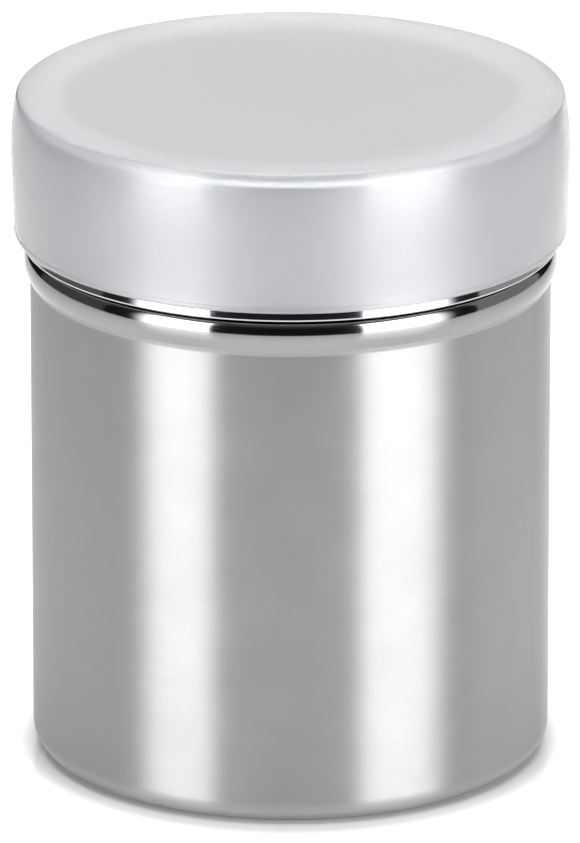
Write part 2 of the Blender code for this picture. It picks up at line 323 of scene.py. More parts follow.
def satin_stainless(base):
    """Stainless steel, drawn and then brushed round the wall with a satin belt.

    The eye gets upright bands of light with soft edges, because the fine lines spread each
    reflection up and down, a faint level grain, slow clouds where the belt pressed harder,
    and a few nicks of 0.2 mm. The belt's lines are about 0.05 mm apart and are drawn
    0.25 mm apart to show.
    """
    roughness, line_share = 0.36, 0.4
    line_spacing, line_length, cloud_size, nick_spacing = 0.00025, 0.012, 0.008, 0.0075
    material, tree, shader, place = new_material("satin_stainless", base, 1.0, roughness)
    lines = streaks(tree, place, (line_length, line_length, line_spacing), detail=4.0)
    clouds = node(tree, "ShaderNodeTexNoise", {"Vector": place, "Scale": 1 / cloud_size, "Detail": 3.0})
    both = node(tree, "ShaderNodeMath", {0: lines, 1: line_share, 2: clouds}, operation="MULTIPLY_ADD")
    spread = {"Value": both, "From Min": 0.4, "From Max": 1.0}
    shade = node(tree, "ShaderNodeMapRange", {**spread, "To Min": 0.92, "To Max": 1.07})
    rough = node(
        tree, "ShaderNodeMapRange", {**spread, "To Min": roughness * 0.92, "To Max": roughness * 1.08}
    )
    nicks = marks(tree, place, nick_spacing, core=0.01, reach=0.022, at_core=0.7, beyond=1.0)
    marked = node(tree, "ShaderNodeMath", {0: shade, 1: nicks}, operation="MULTIPLY")
    tone = node(tree, "ShaderNodeVectorMath", {0: base, "Scale": marked}, operation="SCALE")
    bump = node(tree, "ShaderNodeBump", {"Height": lines, "Strength": 0.05, "Distance": 0.00002})
    around = node(tree, "ShaderNodeTangent", direction_type="RADIAL", axis="Z")
    connect(tree, shader, {
        "Base Color": tone, "Roughness": rough, "Normal": bump,
        "Anisotropic": 0.9, "Anisotropic Rotation": 0.25, "Tangent": around,
    })
    return material


def polished_stainless(name, base):
    """Stainless steel, pressed and then polished on a mop.

    The eye gets crisp black and white reflections that waver a little, from the sheet's
    faint waves, with a fine haze and a few pits of 0.1 to 0.2 mm, which show as specks.
    """
    roughness, pit_roughness, haze_share = 0.07, 0.35, 0.5
    wave_size, haze_size, pit_spacing = 0.006, 0.012, 0.0022
    material, tree, shader, place = new_material(name, base, 1.0, roughness)
    waves = node(tree, "ShaderNodeTexNoise", {"Vector": place, "Scale": 1 / wave_size, "Detail": 1.0})
    haze = node(tree, "ShaderNodeTexNoise", {"Vector": place, "Scale": 1 / haze_size, "Detail": 5.0})
    pits = marks(
        tree, place, pit_spacing, core=0.025, reach=0.06, at_core=pit_roughness, beyond=roughness
    )
    hazed = node(
        tree, "ShaderNodeMath", {0: haze, 1: roughness * haze_share, 2: pits}, operation="MULTIPLY_ADD"
    )
    bump = node(tree, "ShaderNodeBump", {"Height": waves, "Strength": 0.35, "Distance": 0.00003})
    connect(tree, shader, {"Roughness": hazed, "Normal": bump})
    return material


def drawn_stainless(base):
    """Stainless steel as the drawing press leaves it, inside the canister.

    The eye gets a dull grey with faint upright draw lines, about 0.4 mm apart.
    """
    roughness = 0.34
    draw_spacing, draw_length = 0.0004, 0.03
    material, tree, shader, place = new_material("drawn_stainless", base, 1.0, roughness)
    lines = streaks(tree, place, (draw_spacing, draw_spacing, draw_length), detail=3.0)
    rough = node(
        tree, "ShaderNodeMapRange",
        {"Value": lines, "To Min": roughness * 0.8, "To Max": roughness * 1.2},
    )
    shade = node(tree, "ShaderNodeMapRange", {"Value": lines, "To Min": 0.88, "To Max": 1.08})
    tone = node(tree, "ShaderNodeVectorMath", {0: base, "Scale": shade}, operation="SCALE")
    bump = node(tree, "ShaderNodeBump", {"Height": lines, "Strength": 0.15, "Distance": 0.00003})
    connect(tree, shader, {"Base Color": tone, "Roughness": rough, "Normal": bump})
    return material


def drawn_wire(base):
    """Stainless wire, drawn through a die and woven.

    The eye gets bright threads that dull a little from one patch of cloth to the next.
    """
    roughness = 0.28
    patch_size, scratch_size = 0.004, 0.0002
    material, tree, shader, place = new_material("drawn_wire", base, 1.0, roughness)
    patches, scratches = (
        node(tree, "ShaderNodeTexNoise", {"Vector": place, "Scale": 1 / size, "Detail": 2.0})
        for size in (patch_size, scratch_size)
    )
    rough = node(
        tree, "ShaderNodeMapRange",
        {"Value": patches, "To Min": roughness * 0.7, "To Max": roughness * 1.3},
    )
    bump = node(tree, "ShaderNodeBump", {"Height": scratches, "Strength": 0.2, "Distance": 0.00001})
    connect(tree, shader, {"Roughness": rough, "Normal": bump})
    return material


def rolled_sheet(base):
    """Bright rolled stainless sheet, stamped into the clamping ring and not polished after.

    The eye gets a smooth semi-bright grey with straight rolling lines, about 0.3 mm apart.
    """
    roughness = 0.24
    roll_spacing, roll_length = 0.0003, 0.02
    material, tree, shader, place = new_material("rolled_sheet", base, 1.0, roughness)
    lines = streaks(tree, place, (roll_length, roll_spacing, roll_spacing), detail=3.0)
    rough = node(
        tree, "ShaderNodeMapRange",
        {"Value": lines, "To Min": roughness * 0.75, "To Max": roughness * 1.25},
    )
    bump = node(tree, "ShaderNodeBump", {"Height": lines, "Strength": 0.12, "Distance": 0.00002})
    connect(tree, shader, {"Roughness": rough, "Normal": bump})
    return material


def frosted_polypropylene(base):
    """Natural polypropylene, injection moulded in an etched tool.

    The eye gets a milky grey-white through which the metal below shows as soft bands, a
    very fine frosted grain, broad waves where the plastic shrank, and a few specks of
    dust. The tool's grain is about 0.05 mm and is drawn at 0.3 mm to show.
    """
    roughness = 0.55
    grain_size, wave_size, speck_spacing = 0.0003, 0.014, 0.009
    material, tree, shader, place = new_material("frosted_polypropylene", base, 0.0, roughness)
    grain, waves = (
        node(tree, "ShaderNodeTexNoise", {"Vector": place, "Scale": 1 / size, "Detail": 2.0})
        for size in (grain_size, wave_size)
    )
    spread = {"Value": waves, "From Min": 0.3, "From Max": 0.7}
    shade = node(tree, "ShaderNodeMapRange", {**spread, "To Min": 0.985, "To Max": 1.01})
    rough = node(
        tree, "ShaderNodeMapRange", {**spread, "To Min": roughness * 0.95, "To Max": roughness * 1.05}
    )
    specks = marks(tree, place, speck_spacing, core=0.012, reach=0.03, at_core=1.12, beyond=1.0)
    spotted = node(tree, "ShaderNodeMath", {0: specks, 1: shade}, operation="MULTIPLY")
    tone = node(tree, "ShaderNodeVectorMath", {0: base, "Scale": spotted}, operation="SCALE")
    fine = node(tree, "ShaderNodeBump", {"Height": grain, "Strength": 0.06, "Distance": 0.00002})
    bump = node(
        tree, "ShaderNodeBump",
        {"Height": waves, "Strength": 0.25, "Distance": 0.00005, "Normal": fine},
    )
    connect(tree, shader, {
        "Base Color": tone, "Roughness": rough, "Normal": bump, "IOR": 1.49,
        "Coat Weight": 1.0, "Coat Roughness": 0.15, "Transmission Weight": 0.94,
    })
    return material


def pale_table(base, stage):
    """A white laminate table top, pressed glossy, with a faint grain of 2 mm.

    The eye gets plain white, with the shaker's shadow where the two meet. The glow lifts
    the table to white for the camera, and a little for steel and plastic; it lights nothing.
    For the camera the glow is left out in a round about the foot, set a little towards the
    camera, which paints a shadow there on top of the real one.
    """
    roughness, grain_size, shown_share = 0.15, 0.002, 0.45
    material, tree, shader, place = new_material("pale_table", base, 0.0, roughness)
    grain = node(tree, "ShaderNodeTexNoise", {"Vector": place, "Scale": 1 / grain_size, "Detail": 2.0})
    bump = node(tree, "ShaderNodeBump", {"Height": grain, "Strength": 0.05, "Distance": 0.00005})
    direct, shown = ray_kinds(tree)
    # Painted shadow: the camera's glow fades out in a round about the foot, set towards the camera
    shifted = node(
        tree, "ShaderNodeVectorMath", {0: place, 1: (0.0, stage.painted_shadow_shift, 0.0)}, operation="ADD"
    )
    radius = node(tree, "ShaderNodeVectorMath", {0: shifted}, operation="LENGTH")
    glow = node(
        tree, "ShaderNodeMapRange",
        {
            "Value": radius.outputs["Value"], "From Min": stage.painted_shadow_core,
            "From Max": stage.painted_shadow_edge, "To Max": stage.floor_glow,
        },
        interpolation_type="SMOOTHSTEP",
    )
    camera_glow_with_painted_shadow = node(tree, "ShaderNodeMath", {0: direct, 1: glow}, operation="MULTIPLY")
    strength = node(
        tree, "ShaderNodeMath", {0: shown, 1: shown_share * stage.floor_glow, 2: camera_glow_with_painted_shadow},
        operation="MULTIPLY_ADD",
    )
    connect(tree, shader, {
        "Emission Color": (1.0, 1.0, 1.0, 1.0), "Emission Strength": strength, "Normal": bump,
    })
    return material


def arc(centre_r, centre_z, across, up, start, end, steps):
    """Points of an elliptical arc in a turned profile, both ends included."""
    points = []
    for step in range(steps + 1):
        turn = start + (end - start) * step / steps
        points.append((centre_r + across * math.cos(turn), centre_z + up * math.sin(turn)))
    return points


def column(start, end, row, hold=0.0):
    """Points along a straight wall, no further apart than row, both ends included.

    With a hold, the first and the last row are only that high, so that the smooth shading
    of a bend beside the wall doesn't run on into it.
    """
    reach = math.dist(start, end)
    steps = max(1, math.ceil((reach - 2 * hold) / row))
    shares = [(hold + (reach - 2 * hold) * step / steps) / reach for step in range(steps + 1)]
    if hold:
        shares = [0.0] + shares + [1.0]
    return [tuple(a + (b - a) * share for a, b in zip(start, end)) for share in shares]


def turned_mesh(name, parts, closed):
    """Turn a profile about Z into a mesh whose faces point outwards.

    Each part is (zone, threaded, points). The points run outwards along the underside, up
    the outside and back inwards, as (radius, height). A radius of 0 closes to one point.
    """
    rows = []
    for zone, threaded, points in parts:
        for point in points:
            if not rows or math.dist(rows[-1][0], point) > SAME_PLACE:
                rows.append((point, zone, threaded))
    if closed and math.dist(rows[-1][0], rows[0][0]) < SAME_PLACE:
        rows.pop()
    turns = [FULL_TURN * step / FINE_SEGMENTS for step in range(FINE_SEGMENTS)]
    points, flags, rings = [], [], []
    for (radius, height), zone, threaded in rows:
        on_axis = radius < SAME_PLACE
        ring = [
            (radius * math.cos(turn), radius * math.sin(turn), height)
            for turn in (turns[:1] if on_axis else turns)
        ]
        rings.append([len(points) + i for i in range(len(ring))])
        points += ring
        flags += [threaded] * len(ring)
    faces, zones = [], []
    for index in range(len(rows) if closed else len(rows) - 1):
        low, high = rings[index], rings[(index + 1) % len(rows)]
        for here in range(FINE_SEGMENTS):
            there = (here + 1) % FINE_SEGMENTS
            if len(low) == 1:
                faces.append((low[0], high[there], high[here]))
            elif len(high) == 1:
                faces.append((low[here], low[there], high[0]))
            else:
                faces.append((low[here], low[there], high[there], high[here]))
            zones.append(rows[index][1])
    mesh = bpy.data.meshes.new(name)
    mesh.from_pydata(points, [], faces)
    mesh.attributes.new("finish_zone", "INT", "FACE").data.foreach_set("value", zones)
    mesh.attributes.new("thread_wall", "BOOLEAN", "POINT").data.foreach_set("value", flags)
    return mesh


def new_tree(name, inputs):
    """A Geometry Nodes tree with a geometry socket each way, and named inputs of each kind."""
    tree = bpy.data.node_groups.new(name, "GeometryNodeTree")
    for way in ("INPUT", "OUTPUT"):
        tree.interface.new_socket("Geometry", in_out=way, socket_type="NodeSocketGeometry")
    for kind, labels in inputs.items():
        for label in labels:
            tree.interface.new_socket(label, in_out="INPUT", socket_type=kind)
    return tree, node(tree, "NodeGroupInput").outputs, node(tree, "NodeGroupOutput")


def round_out(tree, result, lines, points, radius, material):
    """Give lines a round section of some points and a finish, and pass that on."""
    section = node(tree, "GeometryNodeCurvePrimitiveCircle", {"Resolution": points, "Radius": radius})
    solid = node(
        tree, "GeometryNodeCurveToMesh", {"Curve": lines, "Profile Curve": section, "Fill Caps": True}
    )
    whole = node(tree, "GeometryNodeRealizeInstances", {0: solid})
    shown = node(tree, "GeometryNodeSetMaterial", {"Geometry": whole, "Material": material})
    connect(tree, result, {0: shown})


def rolled_thread_tree():
    """Raise one helical ridge on a turned wall, and give each zone its finish.

    The ridge climbs a pitch for each turn about +Z. It starts at the angle that the lead
    gives, in turns, at the foot's height, and runs out softly at both ends.
    """
    tree, given, result = new_tree("rolled_thread", {
        "NodeSocketFloat": ("Foot", "Lead", "Turns", "Pitch", "Height", "Half width", "Run-out"),
        "NodeSocketMaterial": ("Outside", "Polished", "Inside"),
    })
    place = node(tree, "ShaderNodeSeparateXYZ", {0: node(tree, "GeometryNodeInputPosition")})
    x, y, z = place.outputs
    bearing = node(tree, "ShaderNodeMath", {0: y, 1: x}, operation="ARCTAN2")
    turn = node(tree, "ShaderNodeMath", {0: bearing, 1: FULL_TURN}, operation="DIVIDE")
    above = node(tree, "ShaderNodeMath", {0: z, 1: given["Foot"]}, operation="SUBTRACT")
    climbed = node(tree, "ShaderNodeMath", {0: above, 1: given["Pitch"]}, operation="DIVIDE")
    led = node(tree, "ShaderNodeMath", {0: climbed, 1: given["Lead"]}, operation="ADD")
    level = node(tree, "ShaderNodeMath", {0: led, 1: turn}, operation="SUBTRACT")
    nearest = node(tree, "ShaderNodeMath", {0: level}, operation="ROUND")
    apart = node(tree, "ShaderNodeMath", {0: level, 1: nearest}, operation="SUBTRACT")
    offset = node(tree, "ShaderNodeMath", {0: apart, 1: given["Pitch"]}, operation="MULTIPLY")
    reach = node(
        tree, "ShaderNodeMapRange",
        {
            "Value": node(tree, "ShaderNodeMath", {0: offset}, operation="ABSOLUTE"),
            "From Max": given["Half width"], "To Max": QUARTER_TURN,
        },
    )
    cosine = node(tree, "ShaderNodeMath", {0: reach}, operation="COSINE")
    crest = node(tree, "ShaderNodeMath", {0: cosine, 1: 2.0}, operation="POWER")
    wound = node(tree, "ShaderNodeMath", {0: turn, 1: nearest}, operation="ADD")
    along = node(tree, "ShaderNodeMath", {0: wound, 1: given["Lead"]}, operation="SUBTRACT")
    left = node(tree, "ShaderNodeMath", {0: given["Turns"], 1: along}, operation="SUBTRACT")
    to_end = node(tree, "ShaderNodeMath", {0: along, 1: left}, operation="MINIMUM")
    fade = node(
        tree, "ShaderNodeMath", {0: to_end, 1: given["Run-out"]},
        operation="DIVIDE", use_clamp=True,
    )
    part = node(tree, "ShaderNodeMath", {0: crest, 1: fade}, operation="MULTIPLY")
    push = node(tree, "ShaderNodeMath", {0: part, 1: given["Height"]}, operation="MULTIPLY")
    level_place = node(tree, "ShaderNodeCombineXYZ", {0: x, 1: y})
    outwards = node(tree, "ShaderNodeVectorMath", {0: level_place}, operation="NORMALIZE")
    moved = node(tree, "ShaderNodeVectorMath", {0: outwards, "Scale": push}, operation="SCALE")
    wall = node(tree, "GeometryNodeInputNamedAttribute", {"Name": "thread_wall"}, data_type="BOOLEAN")
    threaded = node(
        tree, "GeometryNodeSetPosition",
        {"Geometry": given["Geometry"], "Selection": wall, "Offset": moved},
    )
    shape = node(tree, "GeometryNodeRealizeInstances", {0: threaded})
    zone = node(tree, "GeometryNodeInputNamedAttribute", {"Name": "finish_zone"}, data_type="INT")
    for number, label in enumerate(("Outside", "Polished", "Inside")):
        chosen = node(
            tree, "FunctionNodeCompare", {2: zone, 3: number},
            data_type="INT", operation="EQUAL",
        )
        shape = node(
            tree, "GeometryNodeSetMaterial",
            {"Geometry": shape, "Selection": chosen, "Material": given[label]},
        )
    connect(tree, result, {0: shape})
    return tree


def woven_wires_tree():
    """One layer of a plain woven cloth: wires side by side, cut to a round.

    Each wire starts as a line of the grid along Y, from -1 to 1, and is stretched to the
    round's chord. It waves over one crossing wire and under the next. Side is 1 for the warp
    and -1 for the weft, which passes the other way and runs along X.
    """
    tree, given, result = new_tree("woven_wires", {
        "NodeSocketFloat": (
            "Field radius", "Pitch", "Wire radius", "Middle", "Side", "Quarter turns"
        ),
        "NodeSocketInt": ("Wires", "Points"),
        "NodeSocketMaterial": ("Wire",),
    })
    section_points = 5
    steps = node(tree, "ShaderNodeMath", {0: given["Wires"], 1: 1.0}, operation="SUBTRACT")
    span = node(tree, "ShaderNodeMath", {0: steps, 1: given["Pitch"]}, operation="MULTIPLY")
    grid = node(
        tree, "GeometryNodeMeshGrid",
        {"Size X": span, "Size Y": 2.0, "Vertices X": given["Wires"], "Vertices Y": given["Points"]},
    )
    ends = node(tree, "GeometryNodeInputMeshEdgeVertices")
    across = node(
        tree, "ShaderNodeVectorMath",
        {0: ends.outputs["Position 1"], 1: ends.outputs["Position 2"]}, operation="SUBTRACT",
    )
    step_x = node(tree, "ShaderNodeSeparateXYZ", {0: across})
    width = node(tree, "ShaderNodeMath", {0: step_x}, operation="ABSOLUTE")
    crossing = node(tree, "FunctionNodeCompare", {0: width, 1: SAME_PLACE}, operation="GREATER_THAN")
    strands = node(
        tree, "GeometryNodeDeleteGeometry",
        {"Geometry": grid, "Selection": crossing},
        domain="EDGE", mode="EDGE_FACE",
    )
    lines = node(tree, "GeometryNodeMeshToCurve", {"Mesh": strands})
    place = node(tree, "ShaderNodeSeparateXYZ", {0: node(tree, "GeometryNodeInputPosition")})
    x, along = place.outputs[:2]
    field_squared = node(tree, "ShaderNodeMath", {0: given["Field radius"], 1: 2.0}, operation="POWER")
    x_squared = node(tree, "ShaderNodeMath", {0: x, 1: 2.0}, operation="POWER")
    chord_squared = node(tree, "ShaderNodeMath", {0: field_squared, 1: x_squared}, operation="SUBTRACT")
    chord = node(tree, "ShaderNodeMath", {0: chord_squared}, operation="SQRT")
    y = node(tree, "ShaderNodeMath", {0: along, 1: chord}, operation="MULTIPLY")
    waves = []
    for distance in (x, y):
        half_turns = node(tree, "ShaderNodeMath", {0: distance, 1: given["Pitch"]}, operation="DIVIDE")
        phase = node(tree, "ShaderNodeMath", {0: half_turns, 1: HALF_TURN}, operation="MULTIPLY")
        waves.append(node(tree, "ShaderNodeMath", {0: phase}, operation="COSINE"))
    weave = node(tree, "ShaderNodeMath", {0: waves[0], 1: waves[1]}, operation="MULTIPLY")
    sided = node(tree, "ShaderNodeMath", {0: weave, 1: given["Side"]}, operation="MULTIPLY")
    height = node(
        tree, "ShaderNodeMath",
        {0: sided, 1: given["Wire radius"], 2: given["Middle"]}, operation="MULTIPLY_ADD",
    )
    woven = node(tree, "ShaderNodeCombineXYZ", {0: x, 1: y, 2: height})
    bearing = node(
        tree, "ShaderNodeMath", {0: given["Quarter turns"], 1: QUARTER_TURN}, operation="MULTIPLY"
    )
    turned = node(
        tree, "ShaderNodeVectorRotate",
        {"Vector": woven, "Angle": bearing}, rotation_type="Z_AXIS",
    )
    laid = node(tree, "GeometryNodeSetPosition", {"Geometry": lines, "Position": turned})
    round_out(tree, result, laid, section_points, given["Wire radius"], given["Wire"])
    return tree


def mould_flash_tree():
    """The thin line of flash that a worn mould leaves round the cap, straying a little."""
    tree, given, result = new_tree("mould_flash", {
        "NodeSocketFloat": ("Ring radius", "Level", "Stray", "Flash radius"),
        "NodeSocketMaterial": ("Plastic",),
    })
    wave_size, noise_middle, section_points = 0.006, 0.5, 8
    ring = node(
        tree, "GeometryNodeCurvePrimitiveCircle",
        {"Resolution": FINE_SEGMENTS * 2, "Radius": given["Ring radius"]},
    )
    noise = node(tree, "ShaderNodeTexNoise", {"Scale": 1 / wave_size, "Detail": 4.0})
    centred = node(tree, "ShaderNodeMath", {0: noise, 1: noise_middle}, operation="SUBTRACT")
    height = node(
        tree, "ShaderNodeMath",
        {0: centred, 1: given["Stray"], 2: given["Level"]}, operation="MULTIPLY_ADD",
    )
    lift = node(tree, "ShaderNodeCombineXYZ", {2: height})
    laid = node(tree, "GeometryNodeSetPosition", {"Geometry": ring, "Offset": lift})
    round_out(tree, result, laid, section_points, given["Flash radius"], given["Plastic"])
    return tree


def linked(name, data):
    """A new object in the scene."""
    item = bpy.data.objects.new(name, data)
    bpy.context.scene.collection.objects.link(item)
    return item


def smoothed(mesh):
    """Shade a mesh smooth, but for its sharp edges."""
    mesh.shade_smooth()
    mesh.set_sharp_from_angle(angle=SHARP_ANGLE)


def grown_piece(name, mesh, tree, values):
    """Run a Geometry Nodes tree on a mesh and keep the result as a plain, linked piece."""
    piece = linked(name, mesh)
    modifier = piece.modifiers.new(tree.name, "NODES")
    modifier.node_group = tree
    for socket in tree.interface.items_tree:
        if socket.in_out == "INPUT" and socket.name in values:
            modifier[socket.identifier] = values[socket.name]
    bpy.context.view_layer.update()
    shaped = piece.evaluated_get(bpy.context.evaluated_depsgraph_get())
    result = bpy.data.meshes.new_from_object(shaped)
    piece.modifiers.remove(modifier)
    piece.data = result
    result.name = name
    smoothed(result)
    return piece


def plain_piece(name, mesh, material):
    """Link a turned mesh as a piece with one finish."""
    mesh.materials.append(material)
    smoothed(mesh)
    return linked(name, mesh)


def bead_rows(sizes, offset):
    """The rolled bead from its foot to the neck's shoulder, moved inwards by offset."""
    radius = CANISTER_HIGH.x - sizes.bead_standout - offset
    crest = sizes.bead_foot + sizes.bead_lower_rise
    lower = []
    for step in range(BEAD_STEPS + 1):
        climbed = step / BEAD_STEPS
        swell = sizes.bead_standout * math.sin(QUARTER_TURN * climbed)
        lower.append((radius + swell, sizes.bead_foot + sizes.bead_lower_rise * climbed))
    upper = arc(
        radius, crest, sizes.bead_standout, sizes.bead_upper_rise - offset, 0, QUARTER_TURN, BEAD_STEPS
    )
    return lower + upper[1:]


def neck_sizes(shaker):
    """Radius of the neck, the height of its foot and the height of its rim."""
    sizes = shaker.canister
    radius = CANISTER_HIGH.x - sizes.bead_standout - sizes.neck_inset
    foot = sizes.bead_foot + sizes.bead_lower_rise + sizes.bead_upper_rise
    return radius, foot, CANISTER_HIGH.z


def thread_values(shaker, foot, lead, turns, height):
    """Inputs of the thread's tree."""
    return {
        "Foot": foot,
        "Lead": lead,
        "Turns": turns,
        "Pitch": PITCH,
        "Height": height,
        "Half width": shaker.thread.half_width,
        "Run-out": shaker.thread.fade_turns,
    }


class SHAKER_OT_canister(bpy.types.Operator):
    """Make the drawn steel canister with its bead and threaded neck"""

    bl_idname = "shaker.make_canister"
    bl_label = "Canister"

    def execute(self, context):
        shaker = context.scene.shaker
        sizes, thread, colours = shaker.canister, shaker.thread, shaker.colours
        neck_radius, neck_foot, rim_z = neck_sizes(shaker)
        wall_radius = CANISTER_HIGH.x - sizes.bead_standout
        inner_neck, inner_wall = neck_radius - sizes.sheet, wall_radius - sizes.sheet
        corner, inner_corner = sizes.base_corner, sizes.base_corner - sizes.sheet
        corner_r = wall_radius - corner
        lip = sizes.sheet / 2
        bead = bead_rows(sizes, 0)
        brushed = [(0.0, 0.0)] + column((HUB, 0.0), (corner_r, 0.0), WALL_ROW, HOLD)
        brushed += arc(corner_r, corner, corner, corner, -QUARTER_TURN, 0, BEAD_STEPS)
        brushed += column((wall_radius, corner), (wall_radius, sizes.bead_foot), WALL_ROW, HOLD)
        brushed += [row for row in bead if row[1] < sizes.polish_foot]
        rim = arc(neck_radius - lip, rim_z - lip, lip, lip, 0, HALF_TURN, CORNER_STEPS)
        inside = list(reversed(bead_rows(sizes, sizes.sheet)))
        inside += column((inner_wall, sizes.bead_foot), (inner_wall, corner), WALL_ROW, HOLD)
        inside += arc(corner_r, corner, inner_corner, inner_corner, 0, -QUARTER_TURN, CORNER_STEPS)
        inside += column((corner_r, sizes.sheet), (HUB, sizes.sheet), WALL_ROW, HOLD)
        inside += [(0.0, sizes.sheet)]
        parts = [
            (ZONE_OUTSIDE, False, brushed),
            (ZONE_POLISHED, False, [row for row in bead if row[1] >= sizes.polish_foot]),
            (ZONE_POLISHED, True, column(
                (neck_radius, neck_foot), (neck_radius, rim_z - lip), thread.row
            )),
            (ZONE_POLISHED, False, rim),
            (ZONE_INSIDE, True, column((inner_neck, rim_z - lip), (inner_neck, neck_foot), thread.row)),
            (ZONE_INSIDE, False, inside),
        ]
        turns = (rim_z - neck_foot - 2 * thread.margin) / PITCH
        values = thread_values(shaker, neck_foot + thread.margin, 0.0, turns, thread.height)
        values["Outside"] = satin_stainless(colours.satin)
        values["Polished"] = polished_stainless("polished_bead_painted_shade", colours.polished)
        values["Inside"] = drawn_stainless(colours.drawn)
        mesh = turned_mesh("canister_rows", parts, False)
        piece = grown_piece("canister_body", mesh, rolled_thread_tree(), values)
        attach(piece, "canister")
        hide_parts("canister")
        return {"FINISHED"}


class SHAKER_OT_lid(bpy.types.Operator):
    """Make the pressed lid with its threaded skirt, flared lip and flange"""

    bl_idname = "shaker.make_lid"
    bl_label = "Lid"

    def execute(self, context):
        shaker = context.scene.shaker
        sizes, thread = shaker.lid, shaker.thread
        low, high, radius = LID_LOW.z, LID_HIGH.z, LID_HIGH.x
        lip = sizes.sheet / 2
        bore = radius - sizes.sheet
        flare_top = low + sizes.flare_height
        bend_r, bend_z = radius - sizes.bend, high - sizes.bend
        inner_bend = sizes.bend - sizes.sheet
        opening = radius - sizes.flange_width
        edge = radius + sizes.flare
        slope = math.atan2(sizes.flare, sizes.flare_height - lip)
        outside = arc(edge - lip, low + lip, lip, lip, -HALF_TURN, slope, BEAD_STEPS)
        outside += [(radius, flare_top)]
        outside += column((radius, flare_top), (radius, bend_z), WALL_ROW, HOLD)
        outside += arc(bend_r, bend_z, sizes.bend, sizes.bend, 0, QUARTER_TURN, BEND_STEPS)
        outside += [(opening, high), (opening, high - sizes.sheet)]
        outside += arc(bend_r, bend_z, inner_bend, inner_bend, QUARTER_TURN, 0, BEND_STEPS)
        parts = [
            (ZONE_POLISHED, False, outside),
            (ZONE_POLISHED, True, column((bore, bend_z), (bore, flare_top), thread.row)),
            (ZONE_POLISHED, False, [(edge - sizes.sheet, low + lip)]),
        ]
        neck_foot = neck_sizes(shaker)[1]
        lead = (low - neck_foot + PITCH * thread.drop_share) / PITCH
        values = thread_values(shaker, low + thread.margin, lead, thread.lid_turns, -thread.height)
        steel = polished_stainless("polished_lid_painted_light", shaker.colours.lid)
        values.update({"Outside": steel, "Polished": steel, "Inside": steel})
        mesh = turned_mesh("lid_rows", parts, True)
        piece = grown_piece("lid_pressing", mesh, rolled_thread_tree(), values)
        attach(piece, "lid")
        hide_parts("lid_shell")
        return {"FINISHED"}


class SHAKER_OT_sieve(bpy.types.Operator):
    """Weave the sieve's cloth: its warp, and the weft that crosses it"""

    bl_idname = "shaker.make_sieve"
    bl_label = "Sieve"

    def execute(self, context):
        shaker = context.scene.shaker
        sizes = shaker.sieve
        wires = 2 * math.floor(sizes.field_radius / sizes.pitch) + 1
        tree = woven_wires_tree()
        steel = drawn_wire(shaker.colours.wire)
        for name, side, quarter_turns in (("sieve_warp", 1.0, 0.0), ("sieve_weft", -1.0, 1.0)):
            values = {
                "Field radius": sizes.field_radius,
                "Pitch": sizes.pitch,
                "Wires": wires,
                "Points": wires * sizes.points_per_pitch,
                "Wire radius": sizes.wire_radius,
                "Middle": (SIEVE_LOW.z + SIEVE_HIGH.z) / 2,
                "Side": side,
                "Quarter turns": quarter_turns,
                "Wire": steel,
            }
            piece = grown_piece(name, bpy.data.meshes.new(name), tree, values)
            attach(piece, "lid")
            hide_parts("mesh_screen")
        return {"FINISHED"}


class SHAKER_OT_ring(bpy.types.Operator):
    """Make the pressed ring that clamps the sieve"""

    bl_idname = "shaker.make_ring"
    bl_label = "Clamping Ring"

    def execute(self, context):
        shaker = context.scene.shaker
        sizes = shaker.lid
        low, high, radius = RING_LOW.z, RING_HIGH.z, RING_HIGH.x
        bend, sheet = sizes.ring_bend, sizes.sheet
        bend_r, bend_z = radius - bend, high - bend
        opening = LID_HIGH.x - sizes.flange_width
        lip = sheet / 2
        outline = arc(radius - lip, low + lip, lip, lip, -HALF_TURN, 0, CORNER_STEPS)
        outline += arc(bend_r, bend_z, bend, bend, 0, QUARTER_TURN, CORNER_STEPS)
        outline += arc(
            opening + lip, high - lip, lip, lip, QUARTER_TURN, QUARTER_TURN + HALF_TURN, LIP_STEPS
        )
        outline += arc(bend_r, bend_z, bend - sheet, bend - sheet, QUARTER_TURN, 0, CORNER_STEPS)
        mesh = turned_mesh("clamping_ring", [(ZONE_OUTSIDE, False, outline)], True)
        piece = plain_piece("clamping_ring", mesh, rolled_sheet(shaker.colours.pressed))
        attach(piece, "retaining_ring")
        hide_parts("mesh_retaining_ring")
        return {"FINISHED"}


